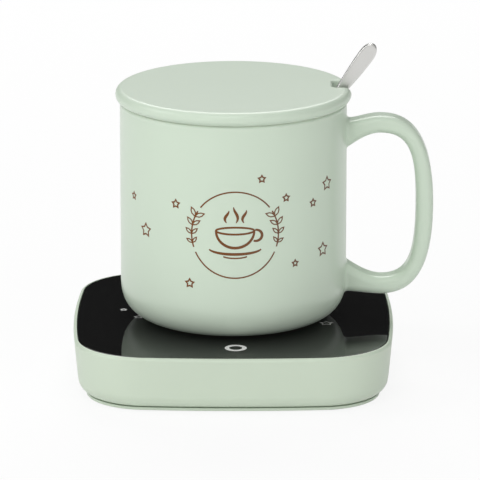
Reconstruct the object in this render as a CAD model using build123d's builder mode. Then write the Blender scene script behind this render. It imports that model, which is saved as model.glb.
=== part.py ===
from build123d import *
import os
from math import cos, radians, sin, sqrt

# Electric mug warmer with the lidded mug and spoon that stand on it. Millimetres, +Z up.
# The origin is the middle of the foot pad's underside, where the warmer stands on the desk.
# +X points towards the mug's handle, -Y to the front, where the touch key is.

# ---------------------------------------------------------------- driving dimensions
# Warmer, in plan
warmer_half_width = 59.7      # centre to the middle of a side, at the top edge
side_arc_radius = 430.0       # each side is bowed outwards a little
corner_radius = 27.0
wall_lean = 1.8               # how much narrower the housing is at its foot, each side
foot_round = 5.4              # rounding of the housing's lower edge
lip_round = 1.2               # rounding of the housing's upper edge
lip_width = 1.3               # rim left round the glass
housing_wall = 2.2
deck_thickness = 1.8          # shelf under the glass
cover_inset = 4.4             # the base plate's edge lies this far inside the outline
spigot_inset = 9.5            # the step on the base plate that locates it
edge_softening = 0.4          # small rounding of the glass and base plate edges

# Warmer, from the desk upwards
pad_stand_off = 0.4           # the foot pad lifts the base plate by this much
cover_plate = 1.1             # visible edge of the base plate
spigot_height = 1.4
board_stand_off = 2.1
board_thickness = 1.6
component_space = 5.4         # between the board and the clamp plate
clamp_thickness = 1.0
insulation_thickness = 2.5
heater_thickness = 1.3
spreader_thickness = 1.5
glass_thickness = 3.0
adhesive_thickness = 0.5

# Foot pad and heating stack, round pieces on the centre line
pad_inset = 16.0              # from the middle of a side to the foot pad
pad_recess = 0.8
pad_groove_width = 1.5
pad_groove_depth = 0.35
pad_groove_spacing = 6.0
pad_groove_count = 4
deck_opening_inset = 25.0     # from the middle of a side to the opening in the shelf
spreader_clearance = 1.0      # round the heat spreader, inside the shelf's opening
heater_inset = 4.0            # how much smaller the heater is than the spreader
insulation_inset = 2.0
clamp_ear_radius = 4.0
clamp_rib_inset = 12.0
clamp_rib_width = 1.6
clamp_rib_depth = 0.6

# Touch key and its light
touch_key_inset = 15.1        # from the front edge to the key, on the centre line
light_guide_radius = 6.5
light_guide_wall = 1.2
spring_radius = 2.0
spring_wire_radius = 0.25
spring_pitch = 1.6
led_circle_radius = 4.1
led_length = 1.6
led_width = 0.8
led_height = 0.7
led_count = 4

# Control board and what is on it
board_half_width = 28.0
board_front_inset = 8.0       # from the warmer's front edge to the board
board_corner_radius = 3.0
chip_x, chip_y = -14.0, -30.0
chip_length, chip_width, chip_height = 9.9, 3.9, 1.6
chip_leg_count = 8
chip_leg_pitch = 1.27
chip_leg_width = 0.4
chip_leg_reach = 1.0
chip_leg_height = 0.7
mosfet_x, mosfet_y = 15.0, -26.0
mosfet_length, mosfet_width, mosfet_height = 6.6, 6.1, 2.3
mosfet_tab = 1.6
capacitor_x, capacitor_y = -17.0, 24.0
capacitor_radius = 2.6
capacitor_height = 4.2
capacitor_base = 0.8
lead_radius = 0.7
lead_hole_clearance = 0.3
heater_lead_x, heater_lead_y = 18.0, -8.0

# Thermistor and thermal fuse
thermistor_radius = 1.4
thermistor_below_clamp = 0.6
sensor_lead_radius = 0.25
sensor_lead_spacing = 1.2
fuse_radius = 1.8
fuse_length = 9.0
fuse_y = 14.0
strap_thickness = 0.5
strap_width = 5.0
strap_foot = 3.5
fuse_lead_radius = 0.35

# Power inlet in the rear wall
jack_width = 9.0
jack_height = 9.0
jack_depth = 12.0
jack_collar_radius = 3.9
jack_bore_radius = 2.9
jack_bore_depth = 12.0
jack_pin_radius = 1.05
jack_shank_radius = 0.85      # the pin's thinner end, held in the body
jack_pin_recess = 1.0
jack_face_recess = 0.3
jack_tail_length = 2.6
jack_tail_width = 1.2
jack_contact_width = 1.8
jack_contact_thickness = 0.3
jack_cradle_width = 7.0
jack_cradle_length = 8.0

# Screws
cover_screw_inset = 21.5      # from the middles of the sides, along X and along Y
cover_screw_shank = 1.2
cover_screw_head = 2.5
cover_screw_head_height = 1.2
cover_screw_length = 9.0
boss_radius = 3.4
clamp_screw_offset = 4.5      # outside the opening in the shelf
clamp_screw_shank = 1.0
clamp_screw_head = 2.0
clamp_screw_head_height = 1.3
clamp_screw_length = 4.0
post_radius = 3.0
board_screw_inset = 6.0       # from the board's edges
board_screw_shank = 0.9
board_screw_head = 1.8
board_screw_head_height = 1.2
board_screw_length = 3.8
stand_off_radius = 2.8
thread_clearance = 0.1        # pilot holes are this much wider than the shanks
head_clearance = 0.4          # counterbores are this much wider than the heads
pilot_extra_depth = 0.6
cross_slot_width = 0.5

# Mug
mug_radius = 42.0
mug_height = 82.5
mug_wall = 2.7
mug_floor = 5.0
mug_corner_width = 17.65      # the round between wall and foot
mug_corner_height = 14.8
corner_fullness = 0.69        # 0.55 would be an ellipse, larger is squarer
foot_ring_width = 5.0
foot_recess = 0.8
rim_round = 1.2

# Mug handle
handle_width = 11.0
handle_thickness = 6.4
handle_edge_round = 2.8
handle_reach = 32.2           # from the mug's wall to the outside of the grip
handle_top_drop = 8.6         # from the rim down to the middle of the upper arm
handle_bottom_height = 12.2   # from the mug's foot to the middle of the lower arm
handle_crest = 12.3           # upper arm's highest point, from the wall
handle_heel = 13.0            # lower arm's lowest point, from the wall
handle_root_flare = 2.2       # how much the arms thicken where they meet the wall
handle_root_rise = 1.0        # how far the lower arm climbs from its heel to the wall
outer_fullness = 0.68
inner_fullness = 0.76
handle_root_round = 1.5

# Lid
lid_overhang = 1.65           # beyond the mug's wall
lid_edge_height = 5.0
lid_plate = 4.0               # inside the ring, thinner than the edge
lid_ring_height = 3.5
lid_ring_wall = 2.5
lid_ring_clearance = 0.6
notch_width = 11.5
notch_offset = 4.6            # the notch's middle lies this far behind the centre line
notch_round = 1.8
notch_edge_round = 0.8
notch_gap = 1.4               # between the spoon and the inner end of the notch

# Spoon
spoon_lean = 35.5             # from upright, towards the handle
spoon_y = 2.2
spoon_thickness = 2.6
spoon_edge_round = 0.6
spoon_above_rim = 24.3        # from the mug's rim to the tip, along the spoon
spoon_tip_length = 5.0
spoon_tip_half_width = 2.9
spoon_neck_half_width = 1.6
bowl_length = 38.0
bowl_width = 24.0
bowl_depth = 5.0
bowl_wall = 1.2

# Clearances
slip = 0.2                    # between pieces that are pushed together
body_gap = 0.4                # between pieces that lift apart

# ---------------------------------------------------------------- derived levels and places
cover_seat_z = pad_stand_off + cover_plate
inner_floor_z = cover_seat_z + spigot_height
board_z = inner_floor_z + board_stand_off
board_top_z = board_z + board_thickness
clamp_z = board_top_z + component_space
clamp_top_z = clamp_z + clamp_thickness
insulation_top_z = clamp_top_z + insulation_thickness
heater_top_z = insulation_top_z + heater_thickness
glass_z = heater_top_z + spreader_thickness
glass_top_z = glass_z + glass_thickness
deck_top_z = glass_z - adhesive_thickness
deck_z = deck_top_z - deck_thickness
cavity_floor_z = cover_seat_z + housing_wall

pad_radius = warmer_half_width - pad_inset
deck_opening_radius = warmer_half_width - deck_opening_inset
spreader_radius = deck_opening_radius - spreader_clearance
heater_radius = spreader_radius - heater_inset
insulation_radius = spreader_radius - insulation_inset
clamp_radius = spreader_radius
clamp_rib_radius = clamp_radius - clamp_rib_inset
clamp_screw_circle = deck_opening_radius + clamp_screw_offset
cover_screw_offset = warmer_half_width - cover_screw_inset
touch_key_y = touch_key_inset - warmer_half_width

jack_z = (inner_floor_z + deck_z) / 2
jack_front_y = warmer_half_width - wall_lean - foot_round
jack_back_y = jack_front_y - jack_depth
board_front_y = board_front_inset - warmer_half_width
board_back_y = jack_back_y - slip
board_middle_y = (board_front_y + board_back_y) / 2
board_length = board_back_y - board_front_y

cover_screw_places = [
    (x * cover_screw_offset, y * cover_screw_offset) for x in (-1, 1) for y in (-1, 1)
]
board_screw_places = [
    (x * (board_half_width - board_screw_inset), y)
    for x in (-1, 1)
    for y in (board_front_y + board_screw_inset, board_back_y - board_screw_inset)
]
heater_lead_places = [(-heater_lead_x, heater_lead_y), (heater_lead_x, heater_lead_y)]
sensor_lead_places = [(-sensor_lead_spacing / 2, 0), (sensor_lead_spacing / 2, 0)]

mug_z = glass_top_z
rim_z = mug_z + mug_height
mug_foot_radius = mug_radius - mug_corner_width
mug_inner_radius = mug_radius - mug_wall
mug_floor_z = mug_z + mug_floor
lid_top_z = rim_z + lid_edge_height


def lean_at(z: float) -> float:
    """How far the housing's wall has leant inwards at height z."""
    return wall_lean * (glass_top_z - z) / (glass_top_z - cover_seat_z)


def plan_outline(inset: float) -> Sketch:
    """The warmer's outline in plan, a square with bowed sides, moved inwards by inset."""
    half = warmer_half_width - inset
    arc = side_arc_radius - inset
    corner = (sqrt(2 * arc**2 - (arc - half) ** 2) - (arc - half)) / 2
    corners = [(-corner, -corner), (corner, -corner), (corner, corner), (-corner, corner)]
    middles = [(0, -half), (half, 0), (0, half), (-half, 0)]
    with BuildSketch() as outline:
        with BuildLine():
            for side in range(4):
                ThreePointArc(corners[side], middles[side], corners[(side + 1) % 4])
        make_face()
        fillet(outline.vertices(), corner_radius - inset)
    return outline.sketch


def leaning_block(bottom_z: float, top_z: float, inset: float, lower_round: float) -> Part:
    """A solid that follows the housing's leaning wall, with its lower edge rounded."""
    with BuildPart() as block:
        for z in (bottom_z, top_z):
            with BuildSketch(Plane.XY.offset(z)):
                add(plan_outline(inset + lean_at(z)))
        loft(ruled=True)
        fillet(block.faces().sort_by(Axis.Z)[0].edges(), lower_round)
    return block.part


def quarter_curve(level_end, upright_end, fullness: float) -> list:
    """Control points of a quarter turn from a level end to an upright end."""
    x0, z0 = level_end
    x1, z1 = upright_end
    return [(x0, z0), (x0 + fullness * (x1 - x0), z0), (x1, z1 - fullness * (z1 - z0)), (x1, z1)]


def screw(shank: float, length: float, head: float, head_height: float) -> Part:
    """A cross-head screw that stands on its head: the head is below z = 0, the shank above."""
    with BuildPart() as piece:
        with BuildSketch(Plane.XY.offset(-head_height)):
            Circle(head)
        extrude(amount=head_height)
        fillet(piece.faces().sort_by(Axis.Z)[0].edges(), head_height * 0.35)
        with BuildSketch():
            Circle(shank)
        extrude(amount=length)
        chamfer(piece.faces().sort_by(Axis.Z)[-1].edges(), shank * 0.5)
        with BuildSketch(Plane.XY.offset(-head_height)):
            Rectangle(head * 1.3, cross_slot_width)
            Rectangle(cross_slot_width, head * 1.3)
        extrude(amount=head_height * 0.6, mode=Mode.SUBTRACT)
    return piece.part


def save(piece: BuildPart, name: str) -> None:
    """Label a finished piece and write its STEP file."""
    piece.part.label = name
    export_step(piece.part, f"parts/{name}.step")


os.makedirs("parts", exist_ok=True)

# ---------------------------------------------------------------- housing and glass
# Mint shell: leaning wall, lip round the glass, shelf under it, screw bosses and clamp posts.
with BuildPart() as housing:
    add(leaning_block(cover_seat_z, glass_top_z, 0, foot_round))
    fillet(housing.faces().sort_by(Axis.Z)[-1].edges(), lip_round)
    add(
        leaning_block(cavity_floor_z, deck_z, housing_wall, foot_round - housing_wall),
        mode=Mode.SUBTRACT,
    )
    # Recess for the glass: the cut runs on past the top
    with BuildSketch(Plane.XY.offset(deck_top_z)):
        add(plan_outline(lip_width))
    extrude(amount=glass_top_z - deck_top_z + lip_round, mode=Mode.SUBTRACT)
    with BuildSketch(Plane.XY.offset(cover_seat_z)):
        add(plan_outline(spigot_inset - slip))
    extrude(amount=housing_wall, mode=Mode.SUBTRACT)
    with BuildSketch(Plane.XY.offset(deck_z)):
        Circle(deck_opening_radius)
        with Locations((0, touch_key_y)):
            Circle(light_guide_radius + slip)
    extrude(amount=deck_thickness, mode=Mode.SUBTRACT)
    # Bosses for the base plate's screws, from the shelf down to the base plate
    with BuildSketch(Plane.XY.offset(inner_floor_z)):
        with Locations(*cover_screw_places):
            Circle(boss_radius)
    extrude(amount=deck_z - inner_floor_z)
    with BuildSketch(Plane.XY.offset(inner_floor_z)):
        with Locations(*cover_screw_places):
            Circle(cover_screw_shank + thread_clearance)
    extrude(amount=cover_screw_length + pilot_extra_depth, mode=Mode.SUBTRACT)
    # Posts that the clamp plate is screwed to
    with BuildSketch(Plane.XY.offset(clamp_top_z)):
        with PolarLocations(clamp_screw_circle, 4, start_angle=45):
            Circle(post_radius)
    extrude(amount=deck_z - clamp_top_z)
    with BuildSketch(Plane.XY.offset(clamp_top_z)):
        with PolarLocations(clamp_screw_circle, 4, start_angle=45):
            Circle(clamp_screw_shank + thread_clearance)
    extrude(amount=clamp_screw_length - clamp_thickness + pilot_extra_depth, mode=Mode.SUBTRACT)
    # Hole in the rear wall for the power inlet's collar
    with BuildSketch(Plane.XZ.offset(-jack_front_y)):
        with Locations((0, jack_z)):
            Circle(jack_collar_radius + slip)
    extrude(amount=-(warmer_half_width - jack_front_y), mode=Mode.SUBTRACT)

# Black glass top, let into the lip and flush with it
with BuildPart() as top_glass:
    with BuildSketch(Plane.XY.offset(glass_z)):
        add(plan_outline(lip_width + slip))
    extrude(amount=glass_thickness)
    fillet(top_glass.faces().sort_by(Axis.Z)[-1].edges(), edge_softening)

# Adhesive frame that bonds the glass to the shelf
with BuildPart() as glass_adhesive:
    with BuildSketch(Plane.XY.offset(deck_top_z)):
        add(plan_outline(lip_width + 2 * slip + edge_softening))
        Circle(deck_opening_radius + slip, mode=Mode.SUBTRACT)
        with Locations((0, touch_key_y)):
            Circle(light_guide_radius + slip, mode=Mode.SUBTRACT)
    extrude(amount=adhesive_thickness)

# ---------------------------------------------------------------- heating stack
# Aluminium plate that presses on the glass
with BuildPart() as heat_spreader:
    with BuildSketch(Plane.XY.offset(heater_top_z)):
        Circle(spreader_radius)
    extrude(amount=spreader_thickness)
    chamfer(heat_spreader.faces().sort_by(Axis.Z)[0].edges(), edge_softening)

# Mica heating disc
with BuildPart() as heater_element:
    with BuildSketch(Plane.XY.offset(insulation_top_z)):
        Circle(heater_radius)
    extrude(amount=heater_thickness)

# Silicone foam pad with holes for the sensor and the heater's leads
with BuildPart() as insulation_pad:
    with BuildSketch(Plane.XY.offset(clamp_top_z)):
        Circle(insulation_radius)
        Circle(thermistor_radius + slip, mode=Mode.SUBTRACT)
        with Locations(*heater_lead_places):
            Circle(lead_radius + lead_hole_clearance, mode=Mode.SUBTRACT)
    extrude(amount=insulation_thickness)

# Steel clamp plate with four ears and a pressed rib
with BuildPart() as clamp_plate:
    with BuildSketch(Plane.XY.offset(clamp_z)):
        Circle(clamp_radius)
        with PolarLocations(clamp_screw_circle, 4, start_angle=45):
            Circle(clamp_ear_radius)
        with PolarLocations((clamp_screw_circle + clamp_rib_radius) / 2, 4, start_angle=45):
            Rectangle(clamp_screw_circle - clamp_rib_radius, 2 * clamp_ear_radius)
        Circle(thermistor_radius + slip, mode=Mode.SUBTRACT)
        with Locations(*heater_lead_places):
            Circle(lead_radius + lead_hole_clearance, mode=Mode.SUBTRACT)
        with PolarLocations(clamp_screw_circle, 4, start_angle=45):
            Circle(clamp_screw_shank + head_clearance, mode=Mode.SUBTRACT)
    extrude(amount=clamp_thickness)
    with BuildSketch(Plane.XY.offset(clamp_z)):
        Circle(clamp_rib_radius + 2 * clamp_rib_width)
        Circle(clamp_rib_radius + clamp_rib_width, mode=Mode.SUBTRACT)
    extrude(amount=-clamp_rib_depth)

clamp_screw = screw(
    clamp_screw_shank, clamp_screw_length, clamp_screw_head, clamp_screw_head_height
)
with BuildPart() as clamp_screws:
    with Locations(Plane.XY.offset(clamp_z)):
        with PolarLocations(clamp_screw_circle, 4, start_angle=45):
            add(clamp_screw)

# Sensor bead that touches the heater through the pad, and its two legs to the board
with BuildPart() as thermistor:
    with BuildSketch(Plane.XY.offset(clamp_z - thermistor_below_clamp)):
        Circle(thermistor_radius)
    extrude(amount=insulation_top_z - clamp_z + thermistor_below_clamp)
    fillet(thermistor.faces().sort_by(Axis.Z)[0].edges(), thermistor_radius * 0.5)

with BuildPart() as sensor_leads:
    with BuildSketch(Plane.XY.offset(board_top_z)):
        with Locations(*sensor_lead_places):
            Circle(sensor_lead_radius)
    extrude(amount=component_space - thermistor_below_clamp)

with BuildPart() as heater_leads:
    with BuildSketch(Plane.XY.offset(board_top_z)):
        with Locations(*heater_lead_places):
            Circle(lead_radius)
    extrude(amount=insulation_top_z - board_top_z)

# Thermal fuse, strapped under the clamp plate, with its leads bent down to the board
fuse_z = clamp_z - fuse_radius
with BuildPart() as thermal_fuse:
    with BuildSketch(Plane.YZ.offset(-fuse_length / 2)):
        with Locations((fuse_y, fuse_z)):
            Circle(fuse_radius)
    extrude(amount=fuse_length)
    fillet(thermal_fuse.faces().filter_by(Axis.X).edges(), fuse_radius * 0.35)
    for side in (-1, 1):
        lead_x = side * (fuse_length / 2 + fuse_radius)
        with BuildSketch(Plane.YZ.offset(side * fuse_length / 2)):
            with Locations((fuse_y, fuse_z)):
                Circle(fuse_lead_radius)
        extrude(amount=side * (fuse_radius + fuse_lead_radius))
        with BuildSketch(Plane.XY.offset(board_top_z)):
            with Locations((lead_x, fuse_y)):
                Circle(fuse_lead_radius)
        extrude(amount=fuse_z - board_top_z)

with BuildPart() as fuse_strap:
    with BuildSketch(Plane.YZ.offset(-strap_width / 2)):
        with Locations((fuse_y, fuse_z)):
            Circle(fuse_radius + slip / 2 + strap_thickness)
        with Locations((fuse_y, clamp_z - strap_thickness / 2)):
            Rectangle(2 * (fuse_radius + strap_foot), strap_thickness)
        with Locations((fuse_y, fuse_z)):
            Circle(fuse_radius + slip / 2, mode=Mode.SUBTRACT)
        with Locations((fuse_y, clamp_z + fuse_radius)):
            Rectangle(4 * fuse_radius, 2 * fuse_radius, mode=Mode.SUBTRACT)
        with Locations((fuse_y, clamp_z - fuse_radius / 2)):
            Rectangle(2 * fuse_radius + slip, fuse_radius, mode=Mode.SUBTRACT)
    extrude(amount=strap_width)

# ---------------------------------------------------------------- touch key
with BuildPart() as light_guide:
    with BuildSketch(Plane.XY.offset(board_top_z)):
        with Locations((0, touch_key_y)):
            Circle(light_guide_radius)
            Circle(light_guide_radius - light_guide_wall, mode=Mode.SUBTRACT)
    extrude(amount=glass_z - board_top_z)

spring_height = glass_z - board_top_z - 2 * spring_wire_radius - slip
spring_foot = (0, touch_key_y, board_top_z + spring_wire_radius + slip / 2)
with BuildPart() as touch_spring:
    with BuildLine() as coil:
        Helix(spring_pitch, spring_height, spring_radius, center=spring_foot)
    with BuildSketch(Plane(origin=coil.line @ 0, z_dir=coil.line % 0)):
        Circle(spring_wire_radius)
    sweep(path=coil.line)

with BuildPart() as indicator_leds:
    with BuildSketch(Plane.XY.offset(board_top_z)):
        with Locations((0, touch_key_y)):
            with PolarLocations(led_circle_radius, led_count):
                Rectangle(led_width, led_length)
    extrude(amount=led_height)

# ---------------------------------------------------------------- control board
with BuildPart() as control_board:
    with BuildSketch(Plane.XY.offset(board_z)):
        with Locations((0, board_middle_y)):
            RectangleRounded(2 * board_half_width, board_length, board_corner_radius)
        with Locations(*board_screw_places):
            Circle(board_screw_shank + head_clearance, mode=Mode.SUBTRACT)
    extrude(amount=board_thickness)

with BuildPart() as microcontroller:
    with BuildSketch(Plane.XY.offset(board_top_z)):
        with Locations((chip_x, chip_y)):
            Rectangle(chip_length, chip_width)
    extrude(amount=chip_height)
    with BuildSketch(Plane.XY.offset(board_top_z)):
        with Locations((chip_x, chip_y)):
            with GridLocations(chip_leg_pitch, 1, chip_leg_count, 1):
                Rectangle(chip_leg_width, chip_width + 2 * chip_leg_reach)
    extrude(amount=chip_leg_height)

with BuildPart() as power_transistor:
    with BuildSketch(Plane.XY.offset(board_top_z)):
        with Locations((mosfet_x, mosfet_y)):
            Rectangle(mosfet_length, mosfet_width)
    extrude(amount=mosfet_height)
    with BuildSketch(Plane.XY.offset(board_top_z)):
        with Locations((mosfet_x, mosfet_y + mosfet_tab / 2)):
            Rectangle(mosfet_length - mosfet_tab, mosfet_width + mosfet_tab)
    extrude(amount=mosfet_height / 4)

with BuildPart() as supply_capacitor:
    with BuildSketch(Plane.XY.offset(board_top_z)):
        with Locations((capacitor_x, capacitor_y)):
            Rectangle(2 * capacitor_radius, 2 * capacitor_radius)
    extrude(amount=capacitor_base)
    with BuildSketch(Plane.XY.offset(board_top_z)):
        with Locations((capacitor_x, capacitor_y)):
            Circle(capacitor_radius)
    extrude(amount=capacitor_height)
    fillet(supply_capacitor.faces().sort_by(Axis.Z)[-1].edges(), capacitor_radius * 0.15)

board_screw = screw(
    board_screw_shank, board_screw_length, board_screw_head, board_screw_head_height
)
with BuildPart() as board_screws:
    with Locations(Plane.XY.offset(board_top_z)):
        with Locations(*board_screw_places):
            add(board_screw, rotation=(180, 0, 0))

# ---------------------------------------------------------------- power inlet
jack_face_y = warmer_half_width - lean_at(jack_z) - jack_face_recess
jack_bore_end_y = jack_face_y - jack_bore_depth
jack_contact_z = jack_z - jack_bore_radius + 1.5 * jack_contact_thickness
jack_tail_y = jack_back_y - jack_tail_length
with BuildPart() as dc_jack:
    with BuildSketch(Plane.XZ.offset(-jack_back_y)):
        with Locations((0, jack_z)):
            Rectangle(jack_width, jack_height)
    extrude(amount=-jack_depth)
    with BuildSketch(Plane.XZ.offset(-jack_front_y)):
        with Locations((0, jack_z)):
            Circle(jack_collar_radius)
    extrude(amount=-(jack_face_y - jack_front_y))
    with BuildSketch(Plane.XZ.offset(-jack_face_y)):
        with Locations((0, jack_z)):
            Circle(jack_bore_radius)
    extrude(amount=jack_bore_depth, mode=Mode.SUBTRACT)
    with BuildSketch(Plane.XZ.offset(-jack_face_y)):
        with Locations((0, jack_z)):
            Circle(jack_shank_radius)
        with Locations((0, jack_contact_z)):
            Rectangle(jack_contact_width, jack_contact_thickness)
    extrude(amount=jack_face_y - jack_back_y, mode=Mode.SUBTRACT)

# Centre pin, with its tail bent down to the board
with BuildPart() as jack_pin:
    with BuildSketch(Plane.XZ.offset(-jack_bore_end_y)):
        with Locations((0, jack_z)):
            Circle(jack_pin_radius)
    extrude(amount=-(jack_bore_depth - jack_pin_recess))
    fillet(jack_pin.faces().sort_by(Axis.Y)[-1].edges(), jack_pin_radius * 0.4)
    with BuildSketch(Plane.XZ.offset(-jack_tail_y)):
        with Locations((0, jack_z)):
            Circle(jack_shank_radius)
    extrude(amount=-(jack_bore_end_y - jack_tail_y))
    with BuildSketch(Plane.XY.offset(board_top_z)):
        with Locations((0, jack_tail_y + jack_shank_radius / 2)):
            Rectangle(jack_tail_width, jack_shank_radius)
    extrude(amount=jack_z - board_top_z)

# Leaf along the bottom of the bore that touches the plug's sleeve
with BuildPart() as jack_contact:
    with BuildSketch(Plane.XZ.offset(-(jack_back_y - jack_tail_length / 3))):
        with Locations((0, jack_contact_z)):
            Rectangle(jack_contact_width, jack_contact_thickness)
    extrude(amount=-(jack_face_y - jack_pin_recess - jack_back_y + jack_tail_length / 3))

# ---------------------------------------------------------------- base
with BuildPart() as bottom_cover:
    with BuildSketch(Plane.XY.offset(pad_stand_off)):
        add(plan_outline(cover_inset))
    extrude(amount=cover_plate)
    fillet(bottom_cover.faces().sort_by(Axis.Z)[0].edges(), edge_softening)
    with BuildSketch(Plane.XY.offset(cover_seat_z)):
        add(plan_outline(spigot_inset))
    extrude(amount=spigot_height)
    with BuildSketch(Plane.XY.offset(inner_floor_z)):
        with Locations(*board_screw_places):
            Circle(stand_off_radius)
    extrude(amount=board_stand_off)
    with BuildSketch(Plane.XY.offset(inner_floor_z)):
        with Locations((0, (jack_front_y + jack_back_y - jack_cradle_length / 2) / 2)):
            Rectangle(jack_cradle_width, jack_cradle_length)
    extrude(amount=jack_z - jack_height / 2 - inner_floor_z)
    with BuildSketch(Plane.XY.offset(board_z)):
        with Locations(*board_screw_places):
            Circle(board_screw_shank + thread_clearance)
    extrude(amount=-(board_screw_length - board_thickness + pilot_extra_depth), mode=Mode.SUBTRACT)
    with BuildSketch(Plane.XY.offset(pad_stand_off)):
        Circle(pad_radius + slip)
    extrude(amount=pad_recess, mode=Mode.SUBTRACT)
    with BuildSketch(Plane.XY.offset(pad_stand_off)):
        with Locations(*cover_screw_places):
            Circle(cover_screw_shank + head_clearance)
    extrude(amount=inner_floor_z - pad_stand_off, mode=Mode.SUBTRACT)
    with BuildSketch(Plane.XY.offset(pad_stand_off)):
        with Locations(*cover_screw_places):
            Circle(cover_screw_head + head_clearance)
    extrude(amount=cover_screw_head_height + slip, mode=Mode.SUBTRACT)

cover_screw = screw(
    cover_screw_shank, cover_screw_length, cover_screw_head, cover_screw_head_height
)
with BuildPart() as cover_screws:
    with Locations(Plane.XY.offset(pad_stand_off + cover_screw_head_height + slip)):
        with Locations(*cover_screw_places):
            add(cover_screw)

# Silicone pad with rings of grooves in its underside
with BuildPart() as foot_pad:
    with BuildSketch():
        Circle(pad_radius)
    extrude(amount=pad_stand_off + pad_recess)
    for ring in range(pad_groove_count):
        groove_radius = pad_radius - (ring + 1) * pad_groove_spacing
        with BuildSketch():
            Circle(groove_radius)
            Circle(groove_radius - pad_groove_width, mode=Mode.SUBTRACT)
        extrude(amount=pad_groove_depth, mode=Mode.SUBTRACT)

# ---------------------------------------------------------------- mug
handle_outer_x = mug_radius + handle_reach
handle_inner_x = handle_outer_x - handle_thickness
arm_half = handle_thickness / 2
upper_z = rim_z - handle_top_drop
lower_z = mug_z + handle_bottom_height
waist_z = (upper_z + lower_z) / 2
crest_x = mug_radius + handle_crest
heel_x = mug_radius + handle_heel
root_x = mug_radius - mug_wall / 2
# The mug's profile is drawn on the side away from the handle, which keeps the seam off the roots
far_side = Plane(origin=(0, 0, 0), x_dir=(-1, 0, 0), z_dir=(0, 1, 0))

with BuildPart() as mug:
    # Handle: a C-shaped strip with round edges, rooted in the wall
    with BuildSketch(Plane.XZ):
        with BuildLine():
            outer_top = (crest_x, upper_z + arm_half)
            outer_side = (handle_outer_x, waist_z)
            outer_bottom = (heel_x, lower_z - arm_half)
            inner_top = (crest_x, upper_z - arm_half)
            inner_side = (handle_inner_x, waist_z)
            inner_bottom = (heel_x, lower_z + arm_half)
            upper_root = (root_x, upper_z + arm_half - handle_root_flare)
            upper_armpit = (root_x, upper_z - arm_half - 3 * handle_root_flare)
            lower_armpit = (root_x, lower_z + arm_half + 3 * handle_root_flare)
            lower_root = (root_x, lower_z - arm_half + handle_root_rise)
            third = (crest_x - root_x) / 3
            Bezier(
                upper_root,
                (root_x + third, upper_root[1]),
                (crest_x - third, outer_top[1]),
                outer_top,
            )
            Bezier(*quarter_curve(outer_top, outer_side, outer_fullness))
            Bezier(*quarter_curve(outer_bottom, outer_side, outer_fullness)[::-1])
            Bezier(
                outer_bottom,
                (heel_x - third, outer_bottom[1]),
                (root_x + third, lower_root[1]),
                lower_root,
            )
            Line(lower_root, lower_armpit)
            Bezier(
                lower_armpit,
                (root_x + third, lower_armpit[1] - 1.5 * handle_root_flare),
                (heel_x - third, inner_bottom[1]),
                inner_bottom,
            )
            Bezier(*quarter_curve(inner_bottom, inner_side, inner_fullness))
            Bezier(*quarter_curve(inner_top, inner_side, inner_fullness)[::-1])
            Bezier(
                inner_top,
                (crest_x - third, inner_top[1]),
                (root_x + third, upper_armpit[1] + 1.5 * handle_root_flare),
                upper_armpit,
            )
            Line(upper_armpit, upper_root)
        make_face()
    extrude(amount=handle_width / 2, both=True)
    fillet(
        mug.faces().filter_by(Axis.Y).edges().filter_by(lambda edge: edge.center().X > root_x + slip),
        handle_edge_round,
    )
    # Body, solid at first
    with BuildSketch(far_side):
        with BuildLine():
            Line((0, mug_z), (mug_foot_radius, mug_z))
            Bezier(
                *quarter_curve(
                    (mug_foot_radius, mug_z), (mug_radius, mug_z + mug_corner_height), corner_fullness
                )
            )
            Line((mug_radius, mug_z + mug_corner_height), (mug_radius, rim_z))
            Line((mug_radius, rim_z), (0, rim_z))
            Line((0, rim_z), (0, mug_z))
        make_face()
    revolve(axis=Axis.Z)
    fillet(mug.edges(Select.NEW), handle_root_round)
    # Cavity
    with BuildSketch(far_side):
        with BuildLine():
            Line((0, mug_floor_z), (mug_foot_radius, mug_floor_z))
            inner_corner_z = mug_z + mug_corner_height + mug_floor - mug_wall
            Bezier(
                *quarter_curve(
                    (mug_foot_radius, mug_floor_z), (mug_inner_radius, inner_corner_z), corner_fullness
                )
            )
            Line((mug_inner_radius, inner_corner_z), (mug_inner_radius, rim_z))
            Line((mug_inner_radius, rim_z), (0, rim_z))
            Line((0, rim_z), (0, mug_floor_z))
        make_face()
    revolve(axis=Axis.Z, mode=Mode.SUBTRACT)
    fillet(mug.faces().sort_by(Axis.Z)[-1].edges(), rim_round)
    # Hollow under the foot, inside the ring that the mug stands on
    with BuildSketch(Plane.XY.offset(mug_z)):
        Circle(mug_foot_radius - foot_ring_width)
    extrude(amount=foot_recess, mode=Mode.SUBTRACT)

# ---------------------------------------------------------------- spoon
lean = radians(spoon_lean)
# The spoon's edge lies body_gap from the middle of the rim's inner rounding
rim_centre_x = mug_inner_radius + rim_round
rim_centre_z = rim_z - rim_round
edge_distance = rim_round + body_gap + spoon_neck_half_width
spoon_root = (
    rim_centre_x - edge_distance * cos(lean),
    spoon_y - spoon_thickness / 2,
    rim_centre_z + edge_distance * sin(lean),
)
# Local X runs up the spoon, local Z points to the front
spoon_plane = Plane(origin=spoon_root, x_dir=(sin(lean), 0, cos(lean)), z_dir=(0, -1, 0))
bowl_reach_down = sqrt((bowl_length / 2 * cos(lean)) ** 2 + (bowl_width / 2 * sin(lean)) ** 2)
bowl_centre_x = -(spoon_root[2] - mug_floor_z - body_gap - bowl_reach_down) / cos(lean)
neck_x = bowl_centre_x + bowl_length / 2 - 2 * bowl_wall
tip_start_x = spoon_above_rim - spoon_tip_length

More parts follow.
